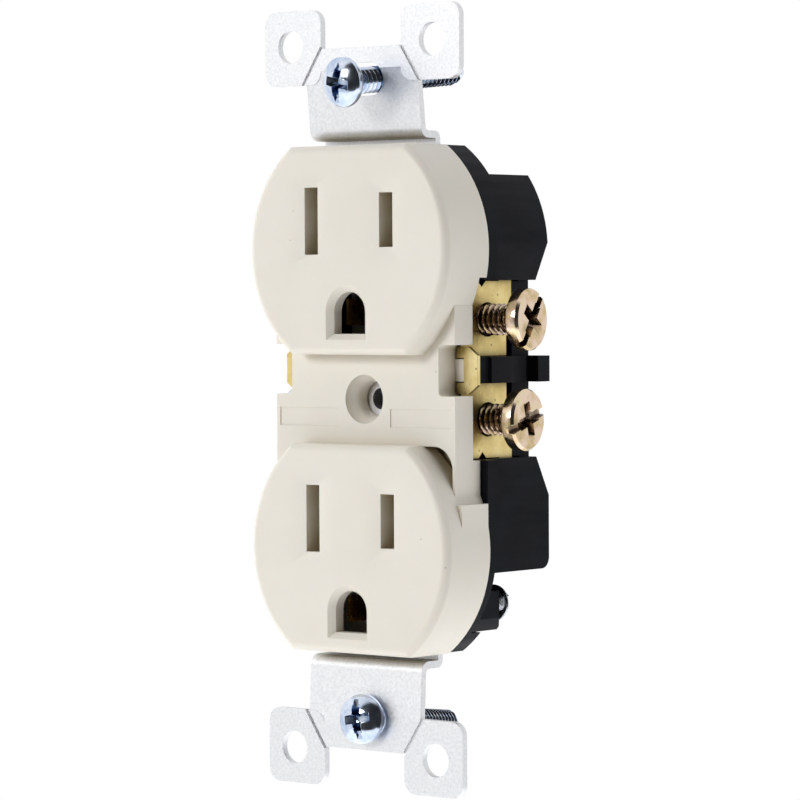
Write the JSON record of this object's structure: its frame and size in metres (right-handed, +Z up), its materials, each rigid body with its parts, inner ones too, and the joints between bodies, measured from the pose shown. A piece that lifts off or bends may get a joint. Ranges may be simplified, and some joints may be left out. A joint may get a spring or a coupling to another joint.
{
  "type": "duplex wall outlet",
  "caption": "Wall outlet with a pair of three-hole faces, a stamped metal yoke with ears, side wire screws and mounting screws.",
  "frame": {"origin": "middle of the outlet, at the centre of the faceplate screw hole, in the front plane of the yoke's ears", "axes": "+X to the right seen from the front, +Y to the rear into the wall box, +Z up along the yoke"},
  "size_m": [0.0399, 0.0281, 0.102],
  "materials": {
    "almond_plastic": "smooth satin moulding",
    "black_plastic": "matte moulded thermoset",
    "zinc_strap": "zinc-plated sheet with a fine mottled spangle",
    "brass_strip": "bright rolled brass with fine specks",
    "contact_brass": "spring brass",
    "spring_steel": "plain spring steel",
    "gold_screw": "yellow-chromate zinc, iridescent",
    "silver_screw": "clear zinc",
    "green_screw": "green dyed zinc",
    "zinc_screw": "bright bluish zinc"
  },
  "bodies": {
    "outlet": {"front_cover": "almond_plastic", "back_body": "black_plastic", "mounting_strap": "zinc_strap", "hot_bus": "brass_strip", "neutral_bus": "brass_strip", "hot_contact_upper": "contact_brass", "hot_contact_lower": "contact_brass", "neutral_contact_upper": "contact_brass", "neutral_contact_lower": "contact_brass", "ground_contact_upper": "contact_brass", "ground_contact_lower": "contact_brass", "ground_contact_rivets": "contact_brass", "hot_wire_clip_upper": "spring_steel", "hot_wire_clip_lower": "spring_steel", "neutral_wire_clip_upper": "spring_steel", "neutral_wire_clip_lower": "spring_steel", "assembly_screw_top": "silver_screw", "assembly_screw_bottom": "silver_screw"},
    "hot_terminal_screw_upper": {"hot_terminal_screw_upper": "gold_screw"},
    "hot_terminal_screw_lower": {"hot_terminal_screw_lower": "gold_screw"},
    "neutral_terminal_screw_upper": {"neutral_terminal_screw_upper": "silver_screw"},
    "neutral_terminal_screw_lower": {"neutral_terminal_screw_lower": "silver_screw"},
    "ground_terminal_screw": {"ground_terminal_screw": "green_screw"},
    "mounting_screw_top": {"mounting_screw_top": "zinc_screw"},
    "mounting_screw_bottom": {"mounting_screw_bottom": "zinc_screw"}
  },
  "joints": [
    {"name": "hot_screw_upper_travel", "type": "slide", "parent": "outlet", "child": "hot_terminal_screw_upper", "axis": [0.9903, 0.1392, 0], "range_m": [-0.0042, 0.0008]},
    {"name": "hot_screw_lower_travel", "type": "slide", "parent": "outlet", "child": "hot_terminal_screw_lower", "axis": [0.9936, 0.1132, 0], "range_m": [-0.0038, 0.0018]},
    {"name": "neutral_screw_upper_travel", "type": "slide", "parent": "outlet", "child": "neutral_terminal_screw_upper", "axis": [-1, 0, 0], "range_m": [-0.00455, 0.0012]},
    {"name": "neutral_screw_lower_travel", "type": "slide", "parent": "outlet", "child": "neutral_terminal_screw_lower", "axis": [-1, 0, 0], "range_m": [-0.00455, 0.0012]},
    {"name": "ground_screw_travel", "type": "slide", "parent": "outlet", "child": "ground_terminal_screw", "axis": [-1, 0, 0], "range_m": [-0.00255, 0.003]},
    {"name": "mounting_screw_top_travel", "type": "slide", "parent": "outlet", "child": "mounting_screw_top", "axis": [-0.0434, -0.9941, -0.0992], "range_m": [-0.004, 0.01]},
    {"name": "mounting_screw_bottom_travel", "type": "slide", "parent": "outlet", "child": "mounting_screw_bottom", "axis": [0.1279, -0.9846, 0.1192], "range_m": [0, 0.013]}
  ]
}
